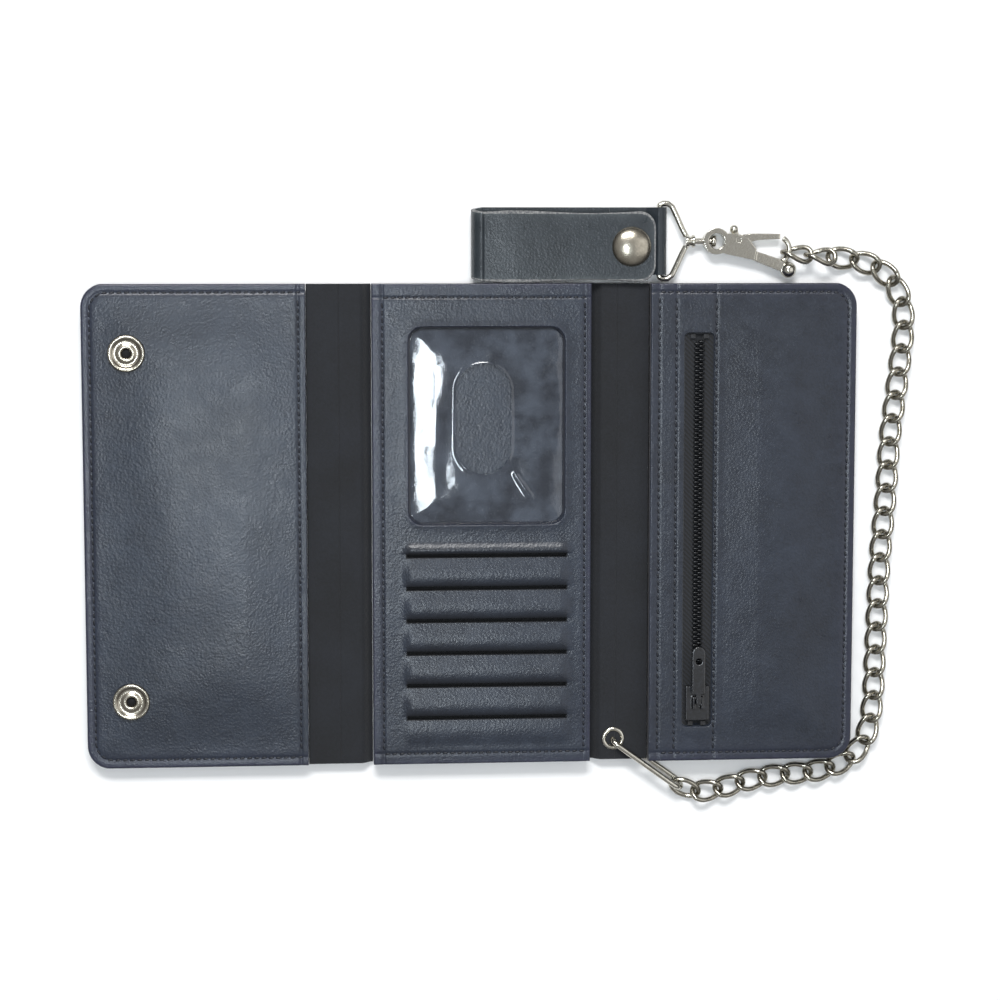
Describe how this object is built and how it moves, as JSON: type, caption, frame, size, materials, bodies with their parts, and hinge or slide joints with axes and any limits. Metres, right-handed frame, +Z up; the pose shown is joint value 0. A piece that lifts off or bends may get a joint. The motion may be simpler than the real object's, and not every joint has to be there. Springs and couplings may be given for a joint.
{
  "type": "chain wallet",
  "caption": "Leather trifold wallet with card slits, identity window, zipped coin pocket, curb chain, trigger hook and snap belt-loop fob.",
  "frame": {"origin": "on the table under the middle of the open wallet's outline", "axes": "+Z up from the table, +X across the three panels towards the zipped pocket, +Y towards the identity window's end and the belt loop"},
  "size_m": [0.2986, 0.2188, 0.0137],
  "materials": {
    "waxy_leather": "smooth oiled top grain, blue-black",
    "flesh_leather": "matte flesh side",
    "strap_leather": "smooth oiled top grain with raw edges",
    "clear_vinyl": "clear, glossy, rippled",
    "zip_tape": "woven tape",
    "zip_teeth": "moulded",
    "black_enamel": "gloss enamel",
    "chain_steel": "nickel plated, slightly warm",
    "nickel_plate": "bright nickel plate"
  },
  "bodies": {
    "right_spine": {"right_fold": "flesh_leather", "chain_eyelet": "nickel_plate", "eyelet_washer": "nickel_plate"},
    "middle": {"cover_middle": "waxy_leather", "card_board": "flesh_leather", "card_pocket_1": "flesh_leather", "card_pocket_2": "flesh_leather", "card_pocket_3": "flesh_leather", "card_pocket_4": "flesh_leather", "card_pocket_5": "flesh_leather", "card_pocket_6": "flesh_leather", "card_panel": "waxy_leather", "id_window": "clear_vinyl"},
    "left_spine": {"left_fold": "flesh_leather"},
    "left_flap": {"cover_left": "waxy_leather", "left_pocket_panel": "waxy_leather", "left_snap_caps": "nickel_plate", "left_snap_sockets": "nickel_plate"},
    "right_flap": {"cover_right": "waxy_leather", "zip_pocket_panel": "waxy_leather", "zipper_tape_left": "zip_tape", "zipper_tape_right": "zip_tape", "zipper_teeth_left": "zip_teeth", "zipper_teeth_right": "zip_teeth", "zipper_stops": "nickel_plate", "coin_pocket_bag": "flesh_leather", "right_snap_studs": "nickel_plate", "right_snap_posts": "nickel_plate"},
    "slider": {"zipper_slider": "black_enamel"},
    "pull_tab": {"zipper_pull": "black_enamel"},
    "connector": {"connector_link": "chain_steel"},
    "chain_1": {"chain_run_1": "chain_steel"},
    "chain_2": {"chain_run_2": "chain_steel"},
    "chain_3": {"chain_run_3": "chain_steel"},
    "chain_4": {"chain_run_4": "chain_steel"},
    "chain_5": {"chain_run_5": "chain_steel"},
    "chain_6": {"chain_run_6": "chain_steel"},
    "chain_7": {"chain_run_7": "chain_steel"},
    "chain_8": {"chain_run_8": "chain_steel"},
    "hook": {"hook_body": "nickel_plate", "gate_pin": "nickel_plate"},
    "gate": {"hook_gate": "nickel_plate"},
    "eye": {"swivel_eye": "nickel_plate"},
    "fob": {"fob_strap": "strap_leather", "fob_bend": "strap_leather", "fob_snap_stud": "nickel_plate"},
    "fob_front": {"fob_flap": "strap_leather", "fob_snap_cap": "nickel_plate", "fob_snap_socket": "nickel_plate"}
  },
  "joints": [
    {"name": "middle_fold", "type": "hinge", "parent": "right_spine", "child": "middle", "pos_m": [0.0458, 0, 0.0038], "axis": [0, 1, 0], "range_deg": [0, 90], "deforming": ["right_fold"]},
    {"name": "right_flap_fold", "type": "hinge", "parent": "right_spine", "child": "right_flap", "pos_m": [0.058, 0, 0.006], "axis": [0, -1, 0], "range_deg": [0, 90]},
    {"name": "left_spine_fold", "type": "hinge", "parent": "middle", "child": "left_spine", "pos_m": [-0.0377, 0, 0.0038], "axis": [0, 1, 0], "range_deg": [0, 90], "deforming": ["left_fold"]},
    {"name": "left_flap_fold", "type": "hinge", "parent": "left_spine", "child": "left_flap", "pos_m": [-0.0574, 0, 0.0055], "axis": [0, 1, 0], "range_deg": [0, 90]},
    {"name": "zip_slide", "type": "slide", "parent": "right_flap", "child": "slider", "axis": [0, 1, 0], "range_m": [0, 0.124]},
    {"name": "pull_tab_lift", "type": "hinge", "parent": "slider", "child": "pull_tab", "pos_m": [0.081, -0.06483, 0.0116], "axis": [-1, 0, 0], "range_deg": [-90, 0]},
    {"name": "connector_lift", "type": "hinge", "parent": "right_spine", "child": "connector", "pos_m": [0.0511, -0.0785, 0.00383], "axis": [-0.5878, -0.809, 0], "range_deg": [0, 3]},
    {"name": "chain_1_bend", "type": "hinge", "parent": "connector", "child": "chain_1", "pos_m": [0.074, -0.096, 0.0032], "axis": [0, -1, 0], "range_deg": [0, 12]},
    {"name": "chain_2_bend", "type": "hinge", "parent": "chain_1", "child": "chain_2", "pos_m": [0.10675, -0.09447, 0.0022], "axis": [0, -1, 0], "range_deg": [0, 12]},
    {"name": "chain_3_bend", "type": "hinge", "parent": "chain_2", "child": "chain_3", "pos_m": [0.13931, -0.08777, 0.0022], "axis": [0, -1, 0], "range_deg": [0, 12]},
    {"name": "chain_4_bend", "type": "hinge", "parent": "chain_3", "child": "chain_4", "pos_m": [0.14769, -0.056, 0.0022], "axis": [0, 0, -1], "range_deg": [0, 18]},
    {"name": "chain_5_bend", "type": "hinge", "parent": "chain_4", "child": "chain_5", "pos_m": [0.14912, -0.01353, 0.0022], "axis": [0, 0, -1], "range_deg": [0, 18]},
    {"name": "chain_6_bend", "type": "hinge", "parent": "chain_5", "child": "chain_6", "pos_m": [0.15152, 0.02039, 0.0022], "axis": [0, 0, -1], "range_deg": [0, 18]},
    {"name": "chain_7_bend", "type": "hinge", "parent": "chain_6", "child": "chain_7", "pos_m": [0.15498, 0.05419, 0.0022], "axis": [0, 0, -1], "range_deg": [0, 18]},
    {"name": "chain_8_bend", "type": "hinge", "parent": "chain_7", "child": "chain_8", "pos_m": [0.15237, 0.08703, 0.0022], "axis": [0, 1, 0], "range_deg": [0, 5]},
    {"name": "hook_tilt", "type": "hinge", "parent": "chain_8", "child": "hook", "pos_m": [0.114, 0.097, 0.003], "axis": [0, 1, 0], "range_deg": [0, 20]},
    {"name": "gate_press", "type": "hinge", "parent": "hook", "child": "gate", "pos_m": [0.0956, 0.1016, 0.003], "axis": [0, 0, -1], "range_deg": [0, 16], "stiffness_Nm_per_rad": 0.004, "springref_deg": -17.19},
    {"name": "swivel_turn", "type": "hinge", "parent": "hook", "child": "eye", "pos_m": [0.0794, 0.1012, 0.003], "axis": [-1, 0, 0], "range_deg": [0, 100]},
    {"name": "fob_swing", "type": "hinge", "parent": "eye", "child": "fob", "pos_m": [0.067, 0.1012, 0.00275], "axis": [0, 1, 0], "range_deg": [0, 60]},
    {"name": "fob_open", "type": "hinge", "parent": "fob", "child": "fob_front", "pos_m": [0.0036, 0.1012, 0.004], "axis": [0, -1, 0], "range_deg": [0, 120], "deforming": ["fob_bend"]}
  ]
}
